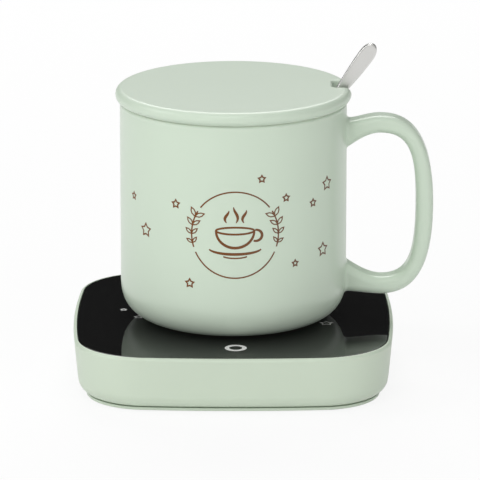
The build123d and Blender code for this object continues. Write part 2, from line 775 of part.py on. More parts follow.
with BuildPart() as spoon:
    # Handle, widening from the neck to the tip
    with BuildSketch(spoon_plane):
        with BuildLine():
            blade_x = tip_start_x / 2
            blade_half_width = (spoon_neck_half_width + 2 * spoon_tip_half_width) / 3
            Spline(
                (neck_x, spoon_neck_half_width),
                (0, spoon_neck_half_width),
                (blade_x, blade_half_width),
                (tip_start_x, spoon_tip_half_width),
                tangents=((1, 0), (1, 0)),
            )
            Bezier(*quarter_curve((tip_start_x, spoon_tip_half_width), (spoon_above_rim, 0), 0.6))
            mirror(about=Plane.XZ)
            Line((neck_x, spoon_neck_half_width), (neck_x, -spoon_neck_half_width))
        make_face()
    extrude(amount=-spoon_thickness)
    fillet(
        spoon.faces().filter_by(Axis.Y).edges().filter_by(
            lambda edge: edge.length > 2.1 * spoon_neck_half_width
        ),
        spoon_edge_round,
    )
    # Bowl, open to the front
    for wall, mode in ((0, Mode.ADD), (bowl_wall, Mode.SUBTRACT)):
        for depth_share, size_share in ((0, 1), (0.6, 0.8), (1, 0.4)):
            with BuildSketch(spoon_plane.offset(-depth_share * (bowl_depth - wall))):
                with Locations((bowl_centre_x, 0)):
                    Ellipse(bowl_length / 2 * size_share - wall, bowl_width / 2 * size_share - wall)
        loft(mode=mode)

# ---------------------------------------------------------------- lid
lid_radius = mug_radius + lid_overhang
lid_edge_round = lid_edge_height / 2
lid_flat_radius = lid_radius - lid_edge_round
lid_ring_radius = mug_inner_radius - lid_ring_clearance
lid_ring_inner_radius = lid_ring_radius - lid_ring_wall
lid_ring_z = rim_z - lid_ring_height
lid_plate_z = lid_top_z - lid_plate
notch_inner_x = -spoon_neck_half_width - notch_gap
with BuildPart() as lid:
    with BuildSketch(Plane.XZ):
        with BuildLine():
            Polyline(
                (0, lid_plate_z),
                (lid_ring_inner_radius, lid_plate_z),
                (lid_ring_inner_radius, lid_ring_z),
                (lid_ring_radius, lid_ring_z),
                (lid_ring_radius, rim_z),
                (lid_flat_radius, rim_z),
            )
            ThreePointArc(
                (lid_flat_radius, rim_z),
                (lid_radius, rim_z + lid_edge_round),
                (lid_flat_radius, lid_top_z),
            )
            Line((lid_flat_radius, lid_top_z), (0, lid_top_z))
            Line((0, lid_top_z), (0, lid_plate_z))
        make_face()
    revolve(axis=Axis.Z)
    # Notch for the spoon, cut along the spoon's own lean and open at the rim
    notch_plane = Plane(
        origin=(spoon_root[0], notch_offset, spoon_root[2]),
        x_dir=(cos(lean), 0, -sin(lean)),
        z_dir=(sin(lean), 0, cos(lean)),
    )
    with BuildSketch(notch_plane):
        with Locations((notch_inner_x + mug_radius / 2, 0)):
            RectangleRounded(mug_radius, notch_width, notch_round)
    extrude(amount=3 * lid_edge_height, both=True, mode=Mode.SUBTRACT)
    fillet(
        lid.edges(Select.LAST).filter_by(lambda edge: edge.center().Z > rim_z + lid_edge_round),
        notch_edge_round,
    )

# ---------------------------------------------------------------- files
pieces = {
    "housing": housing,
    "top_glass": top_glass,
    "glass_adhesive": glass_adhesive,
    "heat_spreader": heat_spreader,
    "heater_element": heater_element,
    "insulation_pad": insulation_pad,
    "clamp_plate": clamp_plate,
    "clamp_screws": clamp_screws,
    "thermistor": thermistor,
    "sensor_leads": sensor_leads,
    "heater_leads": heater_leads,
    "thermal_fuse": thermal_fuse,
    "fuse_strap": fuse_strap,
    "light_guide": light_guide,
    "touch_spring": touch_spring,
    "indicator_leds": indicator_leds,
    "control_board": control_board,
    "microcontroller": microcontroller,
    "power_transistor": power_transistor,
    "supply_capacitor": supply_capacitor,
    "board_screws": board_screws,
    "dc_jack": dc_jack,
    "jack_pin": jack_pin,
    "jack_contact": jack_contact,
    "bottom_cover": bottom_cover,
    "cover_screws": cover_screws,
    "foot_pad": foot_pad,
    "mug": mug,
    "lid": lid,
    "spoon": spoon,
}
for name, piece in pieces.items():
    save(piece, name)
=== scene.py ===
"""Dresses the mug warmer set: warmer, lidded mug and spoon.

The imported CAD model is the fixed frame. Every finish is a node material, and the printed
artwork on the mug and on the glass is built as thin films of ink. Lengths are in metres,
except where a docstring says millimetres.
"""

import logging
import math
from dataclasses import dataclass, field, replace
from enum import Enum
from functools import cache

import bpy
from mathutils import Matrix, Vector


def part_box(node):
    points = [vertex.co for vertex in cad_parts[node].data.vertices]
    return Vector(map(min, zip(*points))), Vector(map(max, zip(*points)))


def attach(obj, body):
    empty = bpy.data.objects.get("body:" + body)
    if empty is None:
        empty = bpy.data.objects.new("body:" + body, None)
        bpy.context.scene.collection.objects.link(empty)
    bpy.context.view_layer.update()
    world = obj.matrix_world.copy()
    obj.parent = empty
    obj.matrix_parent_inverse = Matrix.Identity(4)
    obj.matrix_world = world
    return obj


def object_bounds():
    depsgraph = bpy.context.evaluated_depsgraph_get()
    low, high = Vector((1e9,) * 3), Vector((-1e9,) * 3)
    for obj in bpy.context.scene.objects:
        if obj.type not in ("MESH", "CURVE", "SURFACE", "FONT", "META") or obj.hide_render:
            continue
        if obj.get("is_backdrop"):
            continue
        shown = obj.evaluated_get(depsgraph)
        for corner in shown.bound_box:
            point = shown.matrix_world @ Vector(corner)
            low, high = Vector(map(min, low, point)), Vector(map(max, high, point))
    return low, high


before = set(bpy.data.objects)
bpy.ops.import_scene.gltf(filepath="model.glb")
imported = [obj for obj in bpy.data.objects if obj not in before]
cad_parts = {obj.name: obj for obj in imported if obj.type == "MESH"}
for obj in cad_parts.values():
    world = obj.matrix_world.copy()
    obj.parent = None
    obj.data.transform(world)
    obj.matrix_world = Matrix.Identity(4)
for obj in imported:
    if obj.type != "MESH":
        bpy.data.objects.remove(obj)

LOG = logging.getLogger("mug_warmer_set")
MM = 0.001
MICRON = 0.000001

Point = tuple[float, float]
Span = tuple[float, float]
Triple = tuple[float, float, float]
Colour = Triple
Socket = bpy.types.NodeSocket

WHITE: Colour = (1.0, 1.0, 1.0)


def opaque(colour: Colour) -> tuple[float, ...]:
    """The colour with full alpha, as a colour socket takes it."""
    return (*colour, 1.0)


# ---------------------------------------------------------------- node trees
class NodeSheet:
    """Fills one node tree with short calls."""

    NOISE_MIDDLE = 0.5

    def __init__(self, tree: bpy.types.NodeTree) -> None:
        """Takes the node tree of a material, a world or a group, and empties it."""
        self.tree = tree
        tree.nodes.clear()

    def feed(self, socket: Socket, value: object) -> None:
        """Gives an input its value.

        Args:
            socket: The input.
            value: A socket to link to it, or its constant, where a colour has no alpha.
        """
        if isinstance(value, Socket):
            self.tree.links.new(value, socket)
        elif socket.type == "RGBA":
            socket.default_value = opaque(value)
        else:
            socket.default_value = value

    def add(
        self, kind: str, inputs: dict[str | int, object] | None = None, **settings: object
    ) -> bpy.types.Node:
        """Adds a node.

        Args:
            kind: The node's Blender type.
            inputs: What feeds its inputs, by name or by number.
            **settings: Values for its own properties.

        Returns:
            The new node.
        """
        node = self.tree.nodes.new(kind)
        for name, value in settings.items():
            setattr(node, name, value)
        for name, value in (inputs or {}).items():
            self.feed(node.inputs[name], value)
        return node

    def combine(self, operation: str, first: object, second: object) -> Socket:
        """Adds a Math node that works on two sockets or numbers."""
        return self.add("ShaderNodeMath", {0: first, 1: second}, operation=operation).outputs[0]

    def swing(self, noise: Socket, spread: object) -> Socket:
        """Turns noise from 0 to 1 into a swing of the given spread round zero."""
        centred = self.combine("SUBTRACT", noise, self.NOISE_MIDDLE)
        return self.combine("MULTIPLY", centred, spread)

    def mix(self, share: object, first: object, second: object) -> Socket:
        """Mixes two colours.

        Args:
            share: A socket or a number, where 1 gives the second colour.
            first: A socket or a colour.
            second: A socket or a colour.

        Returns:
            The mixed colour.
        """
        node = self.add("ShaderNodeMix", data_type="RGBA")
        for name, value in (("Factor", share), ("A", first), ("B", second)):
            socket = next(s for s in node.inputs if s.name == name and s.enabled)
            self.feed(socket, value)
        return next(s for s in node.outputs if s.enabled)


class Effect(Enum):
    """Surface effects that several finishes share, each one a node group."""

    TONE = "tone_drift"
    GRAIN = "fine_grain"
    BRUSH = "brushed_lines"
    SPECKS = "dust_specks"
    BAND = "height_band"
    GLOSS = "gloss_drift"


class EffectGroup:
    """The node group of one effect, which reads the object's own coordinates."""

    SOCKETS = {
        Effect.TONE: ({"Color": "Color", "Scale": "Float", "Amount": "Float"}, {"Color": "Color"}),
        Effect.GRAIN: ({"Scale": "Float", "Softness": "Float"}, {"Height": "Float"}),
        Effect.BRUSH: ({"Scale": "Float", "Stretch": "Vector"}, {"Height": "Float"}),
        Effect.SPECKS: ({"Scale": "Float", "Size": "Float"}, {"Mask": "Float"}),
        Effect.BAND: ({"Low": "Float", "High": "Float", "Blur": "Float"}, {"Mask": "Float"}),
        Effect.GLOSS: (
            {"Roughness": "Float", "Spread": "Float", "Scale": "Float"}, {"Roughness": "Float"}
        ),
    }
    TONE_DETAIL = 3.0
    GRAIN_DETAIL = 2.0
    BRUSH_DETAIL = 4.0
    GLOSS_DETAIL = 4.0
    HALF_BLUR = 0.5

    def __init__(self, effect: Effect) -> None:
        """Makes the group with its inputs and outputs.

        Args:
            effect: Which effect.
        """
        self.tree = bpy.data.node_groups.new(effect.value, "ShaderNodeTree")
        for direction, names in zip(("INPUT", "OUTPUT"), self.SOCKETS[effect]):
            for name, kind in names.items():
                self.tree.interface.new_socket(
                    name, in_out=direction, socket_type=f"NodeSocket{kind}"
                )
        self.sheet = NodeSheet(self.tree)
        self.given = self.sheet.add("NodeGroupInput").outputs
        self.place = self.sheet.add("ShaderNodeTexCoord").outputs["Object"]
        self.sheet.add("NodeGroupOutput", {0: getattr(self, effect.value)()})

    def noise(self, place: Socket, detail: float) -> Socket:
        """Adds noise from 0 to 1, whose detail is how many finer layers it has."""
        inputs = {"Vector": place, "Scale": self.given["Scale"], "Detail": detail}
        return self.sheet.add("ShaderNodeTexNoise", inputs).outputs[0]

    def tone_drift(self) -> Socket:
        """Lightens and darkens the colour in soft clouds.

        Returns:
            The colour.
        """
        cloud = self.noise(self.place, self.TONE_DETAIL)
        value = self.sheet.combine("ADD", self.sheet.swing(cloud, self.given["Amount"]), 1.0)
        inputs = {"Value": value, "Color": self.given["Color"]}
        return self.sheet.add("ShaderNodeHueSaturation", inputs).outputs["Color"]

    def gloss_drift(self) -> Socket:
        """Raises and lowers the roughness in soft clouds.

        Returns:
            The roughness.
        """
        cloud = self.noise(self.place, self.GLOSS_DETAIL)
        swing = self.sheet.swing(cloud, self.given["Spread"])
        return self.sheet.combine("ADD", self.given["Roughness"], swing)

    def fine_grain(self) -> Socket:
        """Lays soft cells and noise over each other, as on a moulded or glazed skin.

        Returns:
            The height.
        """
        cells = self.sheet.add(
            "ShaderNodeTexVoronoi",
            {
                "Vector": self.place,
                "Scale": self.given["Scale"],
                "Smoothness": self.given["Softness"],
            },
            feature="SMOOTH_F1",
        )
        cloud = self.noise(self.place, self.GRAIN_DETAIL)
        return self.sheet.combine("ADD", cells.outputs["Distance"], cloud)

    def brushed_lines(self) -> Socket:
        """Draws noise out into fine lines, along the directions with a small stretch.

        Returns:
            The height.
        """
        inputs = {0: self.place, 1: self.given["Stretch"]}
        stretched = self.sheet.add("ShaderNodeVectorMath", inputs, operation="MULTIPLY")
        return self.noise(stretched.outputs[0], self.BRUSH_DETAIL)

    def dust_specks(self) -> Socket:
        """Puts a small round speck in each cell.

        Returns:
            A mask of the specks.
        """
        inputs = {"Vector": self.place, "Scale": self.given["Scale"]}
        cells = self.sheet.add("ShaderNodeTexVoronoi", inputs, feature="F1")
        return self.sheet.combine("LESS_THAN", cells.outputs["Distance"], self.given["Size"])

    def height_band(self) -> Socket:
        """Picks what lies between two heights, and fades over one blur at each.

        Returns:
            A mask of the band.
        """
        height = self.sheet.add("ShaderNodeSeparateXYZ", {0: self.place}).outputs["Z"]
        edges = []
        for limit, inward in (("Low", 1.0), ("High", -1.0)):
            past = self.sheet.combine("SUBTRACT", height, self.given[limit])
            inside = self.sheet.combine("MULTIPLY", past, inward)
            blurs = self.sheet.combine("DIVIDE", inside, self.given["Blur"])
            fade = {"Value": blurs, "From Min": -self.HALF_BLUR, "From Max": self.HALF_BLUR}
            edges.append(self.sheet.add("ShaderNodeMapRange", fade).outputs[0])
        return self.sheet.combine("MULTIPLY", *edges)


@cache
def effect_tree(effect: Effect) -> bpy.types.NodeTree:
    """The effect's node group, built at its first use."""
    return EffectGroup(effect).tree


# ---------------------------------------------------------------- finishes
@dataclass(frozen=True)
class Finish:
    """A plain finish with drifting tone and gloss and a fine grain. Other finishes extend it.

    Scales are features per metre, and the grain's height is in metres.
    """

    name: str
    colour: Colour
    roughness: float
    tone_amount: float = 0.06
    tone_scale: float = 60.0
    gloss_spread: float = 0.10
    gloss_scale: float = 120.0
    grain_scale: float = 2500.0
    grain_softness: float = 0.6
    grain_height: float = 4 * MICRON
    metallic: float = 0.0
    specular: float = 0.5
    coat: float = 0.0
    coat_roughness: float = 0.1

    def build(self) -> bpy.types.Material:
        """Makes the material, or gives the one made before.

        Returns:
            The Blender material.
        """
        made = bpy.data.materials.get(f"{self.name}_finish")
        if made:
            return made
        material = bpy.data.materials.new(f"{self.name}_finish")
        material.use_nodes = True
        sheet = NodeSheet(material.node_tree)
        relief = {"Strength": 1.0, "Distance": self.grain_height, "Height": self.height_of(sheet)}
        shader = sheet.add(
            "ShaderNodeBsdfPrincipled",
            {
                "Base Color": self.colour_of(sheet),
                "Roughness": self.roughness_of(sheet),
                "Normal": sheet.add("ShaderNodeBump", relief).outputs[0],
                "Metallic": self.metallic,
                "Specular IOR Level": self.specular,
                "Coat Weight": self.coat,
                "Coat Roughness": self.coat_roughness,
            },
        )
        sheet.add("ShaderNodeOutputMaterial", {"Surface": shader.outputs[0]})
        return material

    def use(self, sheet: NodeSheet, effect: Effect, **inputs: object) -> Socket:
        """Places a shared effect in the material, with its inputs by name."""
        return sheet.add("ShaderNodeGroup", inputs, node_tree=effect_tree(effect)).outputs[0]

    def colour_of(self, sheet: NodeSheet) -> Socket:
        """Gives the colour over the surface.

        Args:
            sheet: The material's sheet.

        Returns:
            The colour.
        """
        return self.use(
            sheet, Effect.TONE, Color=self.colour, Scale=self.tone_scale, Amount=self.tone_amount
        )

    def roughness_of(self, sheet: NodeSheet) -> Socket:
        """Gives the roughness over the surface.

        Args:
            sheet: The material's sheet.

        Returns:
            The roughness.
        """
        return self.use(
            sheet,
            Effect.GLOSS,
            Roughness=self.roughness,
            Spread=self.gloss_spread,
            Scale=self.gloss_scale,
        )

    def height_of(self, sheet: NodeSheet) -> Socket:
        """Gives the fine relief over the surface.

        Args:
            sheet: The material's sheet.

        Returns:
            The height, from 0 to about 1.
        """
        return self.use(
            sheet, Effect.GRAIN, Scale=self.grain_scale, Softness=self.grain_softness
        )


@dataclass(frozen=True)
class Glaze(Finish):
    """Fired glaze, paler in a band near the top, and bare clay where the ware stood.

    On the mug the pale band is thinner glaze along the rim; on the lid it covers the whole top, a
    painted highlight. A band is its lowest and its highest height, and its blur is how softly it
    ends.
    """

    clay: Colour = (0.72, 0.68, 0.60)
    clay_roughness: float = 0.75
    bare_band: Span = (0.0, 0.0)
    bare_blur: float = 0.3 * MM
    thin_glaze_and_highlight: Colour = (0.72, 0.80, 0.70)
    thin_glaze_and_highlight_share: float = 0.35
    thin_glaze_and_highlight_band: Span = (0.0, 0.0)
    thin_glaze_and_highlight_blur: float = 1.8 * MM

    def band(self, sheet: NodeSheet, heights: Span, blur: float) -> Socket:
        """A mask of the ware between two heights, which fades over the blur."""
        low, high = heights
        return self.use(sheet, Effect.BAND, Low=low, High=high, Blur=blur)

    def colour_of(self, sheet: NodeSheet) -> Socket:
        """Pales the top band, as thinner glaze on the mug's rim and as a painted highlight over the
        lid's top, and bares the clay at the foot.

        Args:
            sheet: The material's sheet.

        Returns:
            The colour.
        """
        # Pale band: thinner glaze on the mug's rim, and a painted highlight over the lid's whole
        # top.
        rim = self.band(sheet, self.thin_glaze_and_highlight_band, self.thin_glaze_and_highlight_blur)
        share = sheet.combine("MULTIPLY", rim, self.thin_glaze_and_highlight_share)
        thinned_and_highlit = sheet.mix(share, super().colour_of(sheet), self.thin_glaze_and_highlight)
        return sheet.mix(self.band(sheet, self.bare_band, self.bare_blur), thinned_and_highlit, self.clay)

    def roughness_of(self, sheet: NodeSheet) -> Socket:
        """Makes the glaze satin and the clay chalky.

        Args:
            sheet: The material's sheet.

        Returns:
            The roughness.
        """
        bare = self.band(sheet, self.bare_band, self.bare_blur)
        chalk = sheet.combine("MULTIPLY", bare, self.clay_roughness - self.roughness)
        return sheet.combine("ADD", super().roughness_of(sheet), chalk)


@dataclass(frozen=True)
class SmudgedGlass(Finish):
    """Black-backed glass with a faint wipe pattern and a few specks of dust."""

    speck_colour: Colour = (0.05, 0.05, 0.05)
    speck_scale: float = 260.0
    speck_size: float = 0.055

    def colour_of(self, sheet: NodeSheet) -> Socket:
        """Strews specks of dust over the glass."""
        specks = self.use(sheet, Effect.SPECKS, Scale=self.speck_scale, Size=self.speck_size)
        return sheet.mix(specks, super().colour_of(sheet), self.speck_colour)


@dataclass(frozen=True)
class BrushedMetal(Finish):
    """Metal with lines drawn out along the directions whose stretch is small."""

    stretch: Triple = (1.0, 1.0, 0.05)
    line_scale: float = 3000.0
    gloss_scale: float = 750.0
    metallic: float = 1.0

    def height_of(self, sheet: NodeSheet) -> Socket:
        """The brushed lines."""
        return self.use(sheet, Effect.BRUSH, Scale=self.line_scale, Stretch=self.stretch)

    def roughness_of(self, sheet: NodeSheet) -> Socket:
        """Breaks the gloss up along the lines."""
        lines = self.use(sheet, Effect.BRUSH, Scale=self.gloss_scale, Stretch=self.stretch)
        return sheet.combine("ADD", sheet.swing(lines, self.gloss_spread), self.roughness)


@dataclass(frozen=True)
class SolderMask(Finish):
    """Circuit board: green lacquer over copper tracks, which show as paler paths."""

    track: Colour = (0.05, 0.22, 0.08)
    track_scale: float = 170.0
    track_width: float = 0.10

    def tracks(self, sheet: NodeSheet) -> Socket:
        """Runs tracks along the edges of irregular cells.

        Args:
            sheet: The material's sheet.

        Returns:
            A mask of the tracks.
        """
        place = sheet.add("ShaderNodeTexCoord").outputs["Object"]
        inputs = {"Vector": place, "Scale": self.track_scale}
        cells = sheet.add("ShaderNodeTexVoronoi", inputs, feature="DISTANCE_TO_EDGE")
        return sheet.combine("LESS_THAN", cells.outputs["Distance"], self.track_width)

    def colour_of(self, sheet: NodeSheet) -> Socket:
        """Lacquer with tracks under it."""
        return sheet.mix(self.tracks(sheet), super().colour_of(sheet), self.track)

    def height_of(self, sheet: NodeSheet) -> Socket:
        """The tracks stand a little proud."""
        return self.tracks(sheet)


@dataclass(frozen=True)
class MetallicInk(Finish):
    """Printed ink whose colour runs from a start to an end along X."""

    end_colour: Colour = (0.150, 0.072, 0.038)
    run: Span = (-5 * MM, 22 * MM)

    def colour_of(self, sheet: NodeSheet) -> Socket:
        """Runs the colour along the print, with the print's own drift.

        Args:
            sheet: The material's sheet.

        Returns:
            The colour.
        """
        place = sheet.add("ShaderNodeTexCoord").outputs["Object"]
        across = sheet.add("ShaderNodeSeparateXYZ", {0: place}).outputs["X"]
        start, end = self.run
        inputs = {"Value": across, "From Min": start, "From Max": end}
        share = sheet.add("ShaderNodeMapRange", inputs).outputs[0]
        return sheet.mix(share, super().colour_of(sheet), self.end_colour)


MINT: Colour = (0.590, 0.690, 0.570)
MUG_FOOT, MUG_RIM = (corner.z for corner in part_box("mug"))
LID_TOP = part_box("lid")[1].z

MUG_GLAZE = Glaze(
    "mug_glaze", MINT, 0.29, tone_amount=0.03, tone_scale=35.0, gloss_spread=0.03,
    grain_scale=900.0, grain_height=1.8 * MICRON, specular=0.4,
    bare_band=(MUG_FOOT - 1.0 * MM, MUG_FOOT + 0.6 * MM),
    thin_glaze_and_highlight_band=(MUG_RIM - 1.2 * MM, MUG_RIM + 1.0 * MM),
)
LID_GLAZE = Glaze(
    "lid_glaze", MINT, 0.32, tone_amount=0.03, tone_scale=35.0, gloss_spread=0.03,
    grain_scale=900.0, grain_height=1.8 * MICRON, specular=0.4,
    bare_band=(MUG_RIM - 6.0 * MM, MUG_RIM + 0.05 * MM), bare_blur=0.1 * MM,
    # The pale band covers the lid's whole flat top: a painted highlight where light from above
    # falls.
    thin_glaze_and_highlight_band=(LID_TOP - 0.5 * MM, LID_TOP + 1.0 * MM), thin_glaze_and_highlight_blur=0.6 * MM, thin_glaze_and_highlight_share=0.25,
)
SLOT_FINISHES = (
    Finish(
        "mint_plastic", (0.575, 0.660, 0.540), 0.42, tone_amount=0.03, grain_scale=4200.0,
        grain_height=8 * MICRON,
    ),
    SmudgedGlass(
        "black_glass", (0.0055, 0.0055, 0.0055), 0.035, tone_amount=0.2, gloss_spread=0.05,
        gloss_scale=45.0, grain_scale=60.0, grain_height=0.4 * MICRON, specular=0.6,
    ),
    BrushedMetal(
        "spoon_steel", (0.72, 0.715, 0.695), 0.36, tone_amount=0.03, gloss_spread=0.08,
        stretch=(0.12, 1.0, 0.09),
    ),
    Finish(
        "foam_tape", (0.014, 0.014, 0.014), 0.85, grain_scale=6000.0, grain_height=30 * MICRON
    ),
    BrushedMetal("aluminium", (0.62, 0.63, 0.65), 0.32, stretch=(0.03, 1.0, 1.0)),
    Finish(
        "mica", (0.48, 0.40, 0.22), 0.45, tone_amount=0.35, tone_scale=300.0,
        grain_scale=700.0, grain_height=20 * MICRON,
    ),
    Finish(
        "silicone_foam", (0.78, 0.78, 0.74), 0.80, grain_scale=1800.0, grain_height=80 * MICRON
    ),
    BrushedMetal("zinc_steel", (0.50, 0.52, 0.51), 0.38, tone_amount=0.15),
    BrushedMetal("screw_steel", (0.42, 0.42, 0.42), 0.30, stretch=(1.0, 1.0, 0.1)),
    Finish("sensor_resin", (0.02, 0.02, 0.018), 0.30, specular=0.6),
    BrushedMetal("tinned_wire", (0.60, 0.60, 0.60), 0.25),
    Finish("lead_sleeve", (0.70, 0.69, 0.63), 0.55, grain_height=10 * MICRON),
    BrushedMetal("fuse_case", (0.66, 0.60, 0.48), 0.25, stretch=(0.1, 1.0, 1.0)),
    Finish("white_plastic", (0.80, 0.80, 0.77), 0.45, grain_height=8 * MICRON),
    BrushedMetal("spring_steel", (0.58, 0.58, 0.55), 0.22),
    Finish("led_resin", (0.80, 0.76, 0.50), 0.15, coat=0.8),
    SolderMask(
        "board_laminate", (0.010, 0.075, 0.025), 0.30, grain_height=30 * MICRON, coat=0.4
    ),
    Finish(
        "chip_resin", (0.012, 0.012, 0.012), 0.55, grain_scale=9000.0, grain_height=10 * MICRON
    ),
    BrushedMetal("capacitor_can", (0.64, 0.64, 0.64), 0.24),
    Finish(
        "black_plastic", (0.010, 0.010, 0.010), 0.45, grain_scale=5000.0,
        grain_height=10 * MICRON,
    ),
    BrushedMetal("brass", (0.66, 0.46, 0.16), 0.22, stretch=(1.0, 0.1, 1.0)),
    Finish(
        "silicone", (0.34, 0.39, 0.32), 0.70, tone_amount=0.10, grain_scale=3000.0,
        grain_height=20 * MICRON,
    ),
)
BY_SLOT = {finish.name: finish for finish in SLOT_FINISHES}
COPPER_INK = MetallicInk(
    "copper_ink", (0.170, 0.053, 0.005), 0.38, tone_amount=0.25, tone_scale=400.0,
    metallic=0.2, grain_height=2 * MICRON,
)
WHITE_INK = Finish(
    "white_ink", (0.78, 0.78, 0.77), 0.50, tone_amount=0.05, grain_height=2 * MICRON
)


# ---------------------------------------------------------------- printed artwork
# Angles in degrees, where directions count anticlockwise from the right.
TOP = 90.0
QUARTER_TURN = 90.0


@dataclass(frozen=True)
class Stroke:
    """A printed line on flat artwork, in millimetres.

    An open line may taper towards its ends, by a share of its width. The mitre of a sharp
    corner grows no longer than half the width over mitre_limit.
    """

    points: tuple[Point, ...]
    width: float
    closed: bool = False
    taper: float = 0.0
    mitre_limit: float = 0.35

    def moved(self, across: float, up: float) -> "Stroke":
        """The same line, moved over the artwork."""
        points = tuple((x + across, y + up) for x, y in self.points)
        return replace(self, points=points)

    def half_width(self, number: int) -> float:
        """Gives half the line's width at one of its points.

        Args:
            number: Which point.

        Returns:
            Half the width there, in millimetres.
        """
        if self.closed or not self.taper:
            return self.width / 2
        middle = (len(self.points) - 1) / 2
        away = abs(number - middle) / middle
        return self.width / 2 * (1 - self.taper * away**2)

    def steps_at(self, number: int) -> list[Point]:
        """Gives the directions of the line into and out of one of its points.

        Args:
            number: Which point.

        Returns:
            One or two directions of length 1.
        """
        here = self.points[number]
        before = self.points[number - 1] if number or self.closed else here
        after = self.points[(number + 1) % len(self.points)]
        if number == len(self.points) - 1 and not self.closed:
            after = here
        steps = []
        for (x0, y0), (x1, y1) in ((before, here), (here, after)):
            length = math.hypot(x1 - x0, y1 - y0)
            if length:
                steps.append(((x1 - x0) / length, (y1 - y0) / length))
        return steps

    def sides(self) -> tuple[list[Point], list[Point]]:
        """Works out the line's left and right edges, with mitred corners.

        Returns:
            Two lists, each with a point for every point of the line.
        """
        left, right = [], []
        for number, (x, y) in enumerate(self.points):
            steps = self.steps_at(number)
            along_x = sum(step[0] for step in steps)
            along_y = sum(step[1] for step in steps)
            length = math.hypot(along_x, along_y)
            normal = (-along_y / length, along_x / length)
            # The cosine of half the turn: 1 on a straight stretch, less at a corner.
            squareness = normal[1] * steps[0][0] - normal[0] * steps[0][1]
            reach = self.half_width(number) / max(squareness, self.mitre_limit)
            left.append((x + normal[0] * reach, y + normal[1] * reach))
            right.append((x - normal[0] * reach, y - normal[1] * reach))
        return left, right


def on_circle(radius: float, angle: float) -> Point:
    """A point on a circle round (0, 0), at an angle in degrees."""
    turn = math.radians(angle)
    return radius * math.cos(turn), radius * math.sin(turn)


def arc(centre: Point, radii: Point, sweep: Span, steps: int) -> tuple[Point, ...]:
    """Lays points along an arc of an ellipse.

    Args:
        centre: Its middle.
        radii: Its half width and half height.
        sweep: First and last angle, in degrees, anticlockwise from the right.
        steps: How many pieces the arc is cut into.

    Returns:
        The points, both ends included.
    """
    start, end = sweep
    angles = [math.radians(start + (end - start) * n / steps) for n in range(steps + 1)]
    return tuple(
        (centre[0] + radii[0] * math.cos(a), centre[1] + radii[1] * math.sin(a)) for a in angles
    )


def loop(centre: Point, radii: Point, steps: int) -> tuple[Point, ...]:
    """The points of a whole ellipse, for a closed line."""
    return arc(centre, radii, (0, 360), steps)[:-1]


@dataclass(frozen=True)
class StarField:
    """Small outline stars with five tips, strewn over the artwork, in millimetres.

    Each place has the star's position across and up, and its radius. The waist is how deep
    the notches reach, as a share of the radius.
    """

    places: tuple[Triple, ...]
    line: float
    tips: int = 5
    waist: float = 0.56

    def star(self, radius: float) -> Stroke:
        """Draws one star.

        Args:
            radius: From its middle to a tip.

        Returns:
            The closed line, around (0, 0).
        """
        corners = 2 * self.tips
        points = []
        for number in range(corners):
            reach = radius * (1 if number % 2 == 0 else self.waist)
            points.append(on_circle(reach, TOP + 360 / corners * number))
        return Stroke(tuple(points), self.line, closed=True)

    def strokes(self) -> list[Stroke]:
        """All the stars at their places."""
        return [self.star(radius).moved(across, up) for across, up, radius in self.places]


@dataclass(frozen=True)
class Wreath:
    """A round frame: two arcs, and a sprig of leaves in each gap between them.

    Sizes are in millimetres and angles in degrees. The sprig's angles count down from the
    top, on each side. A leaf's outline is shares of its length, along it and to one side.
    """

    line: float = 0.54
    radius: float = 16.2
    lower_sweep: Span = (205, 335)
    upper_sweep: Span = (38, 142)
    sprig_sweep: Span = (58, 108)
    leaf_angles: tuple[float, ...] = (66, 78, 90, 102)
    leaf_lean: float = 48
    leaf_length: float = 3.6
    leaf_shortening: float = 0.35
    leaf_line_share: float = 0.8
    leaf_outline: tuple[Point, ...] = ((0.08, 0.06), (0.4, 0.2), (0.7, 0.17), (1.0, 0.0))

    def strokes(self) -> list[Stroke]:
        """Draws the frame.

        Returns:
            Its lines, around (0, 0).
        """
        centre, radii = (0.0, 0.0), (self.radius, self.radius)
        lines = [
            Stroke(arc(centre, radii, self.lower_sweep, steps=52), self.line),
            Stroke(arc(centre, radii, self.upper_sweep, steps=42), self.line),
        ]
        for side in (-1, 1):
            sweep = tuple(TOP - side * angle for angle in self.sprig_sweep)
            lines.append(Stroke(arc(centre, radii, sweep, steps=20), self.line))
            for number, angle in enumerate(self.leaf_angles):
                for outward in (-1, 1):
                    lines.append(self.leaf(TOP - side * angle, side, outward, number))
        return lines

    def leaf(self, angle: float, side: int, outward: int, number: int) -> Stroke:
        """Draws one leaf of a sprig.

        Args:
            angle: Where it grows on the frame, anticlockwise from the right.
            side: 1 on the right and -1 on the left.
            outward: 1 for a leaf outside the frame and -1 for one inside.
            number: Its place along the sprig, from the top.

        Returns:
            The closed line.
        """
        root_x, root_y = on_circle(self.radius, angle)
        length = self.leaf_length - self.leaf_shortening * number
        ahead = on_circle(1.0, angle + side * (QUARTER_TURN - self.leaf_lean * outward))
        aside = (-ahead[1], ahead[0])
        near = [(share * length, bulge * length) for share, bulge in self.leaf_outline]
        far = [(along, -out) for along, out in reversed(near[:-1])]
        points = []
        for along, out in near + far:
            x = root_x + along * ahead[0] + out * aside[0]
            y = root_y + along * ahead[1] + out * aside[1]
            points.append((x, y))
        return Stroke(tuple(points), self.line * self.leaf_line_share, closed=True)


